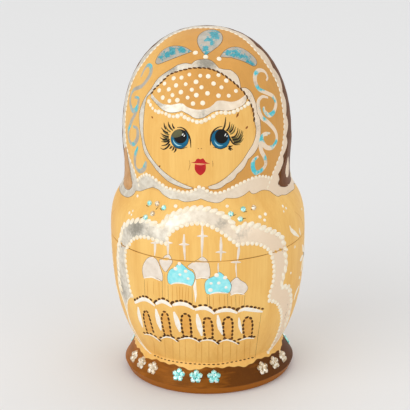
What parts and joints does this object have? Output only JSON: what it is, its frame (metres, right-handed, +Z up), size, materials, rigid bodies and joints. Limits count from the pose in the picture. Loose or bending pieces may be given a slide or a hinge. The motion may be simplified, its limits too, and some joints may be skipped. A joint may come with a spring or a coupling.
{
  "type": "matryoshka nesting doll",
  "caption": "Turned wooden nesting doll in an amber varnish with painted silver scarf, church panel and stuck-on stones; each hollow doll opens at the waist to hold the next.",
  "frame": {"origin": "centre of the foot's flat underside, on the doll's turning axis", "axes": "+Z up along the turning axis, -Y out of the doll's face, +X towards the doll's left hand (the viewer's right)"},
  "size_m": [0.0992, 0.0992, 0.18],
  "materials": {
    "varnished_wood": "glossy amber varnish over linden wood",
    "inner_varnished_wood": "glossy amber varnish over linden wood",
    "teal_stone": "foil-backed acrylic stone",
    "clear_stone": "foil-backed acrylic stone"
  },
  "bodies": {
    "outer_bottom": {"outer_doll_bottom": "varnished_wood", "teal_flower_stones": "teal_stone", "clear_flower_stones": "clear_stone"},
    "second_bottom": {"second_doll_bottom": "inner_varnished_wood"},
    "third_bottom": {"third_doll_bottom": "inner_varnished_wood"},
    "fourth_bottom": {"fourth_doll_bottom": "inner_varnished_wood"},
    "fifth_bottom": {"fifth_doll_bottom": "inner_varnished_wood"},
    "sixth_bottom": {"sixth_doll_bottom": "inner_varnished_wood"},
    "smallest": {"smallest_doll": "inner_varnished_wood"},
    "sixth_top": {"sixth_doll_top": "inner_varnished_wood"},
    "fifth_top": {"fifth_doll_top": "inner_varnished_wood"},
    "fourth_top": {"fourth_doll_top": "inner_varnished_wood"},
    "third_top": {"third_doll_top": "inner_varnished_wood"},
    "second_top": {"second_doll_top": "inner_varnished_wood"},
    "outer_top": {"outer_doll_top": "varnished_wood", "teal_shoulder_stones": "teal_stone", "clear_shoulder_stones": "clear_stone"}
  },
  "joints": [
    {"name": "second_doll_lift_out", "type": "slide", "parent": "outer_bottom", "child": "second_bottom", "axis": [0, 0, 1], "range_m": [0, 0.077]},
    {"name": "third_doll_lift_out", "type": "slide", "parent": "second_bottom", "child": "third_bottom", "axis": [0, 0, 1], "range_m": [0, 0.0608]},
    {"name": "fourth_doll_lift_out", "type": "slide", "parent": "third_bottom", "child": "fourth_bottom", "axis": [0, 0, 1], "range_m": [0, 0.0481]},
    {"name": "fifth_doll_lift_out", "type": "slide", "parent": "fourth_bottom", "child": "fifth_bottom", "axis": [0, 0, 1], "range_m": [0, 0.038]},
    {"name": "sixth_doll_lift_out", "type": "slide", "parent": "fifth_bottom", "child": "sixth_bottom", "axis": [0, 0, 1], "range_m": [0, 0.03]},
    {"name": "smallest_doll_lift_out", "type": "slide", "parent": "sixth_bottom", "child": "smallest", "axis": [0, 0, 1], "range_m": [0, 0.0237]},
    {"name": "sixth_top_lift_off", "type": "slide", "parent": "smallest", "child": "sixth_top", "axis": [0, 0, 1], "range_m": [0, 0.0265]},
    {"name": "fifth_top_lift_off", "type": "slide", "parent": "sixth_top", "child": "fifth_top", "axis": [0, 0, 1], "range_m": [0, 0.0335]},
    {"name": "fourth_top_lift_off", "type": "slide", "parent": "fifth_top", "child": "fourth_top", "axis": [0, 0, 1], "range_m": [0, 0.0424]},
    {"name": "third_top_lift_off", "type": "slide", "parent": "fourth_top", "child": "third_top", "axis": [0, 0, 1], "range_m": [0, 0.0537]},
    {"name": "second_top_lift_off", "type": "slide", "parent": "third_top", "child": "second_top", "axis": [0, 0, 1], "range_m": [0, 0.0679]},
    {"name": "outer_top_lift_off", "type": "slide", "parent": "second_top", "child": "outer_top", "axis": [0, 0, 1], "range_m": [0, 0.086]}
  ]
}
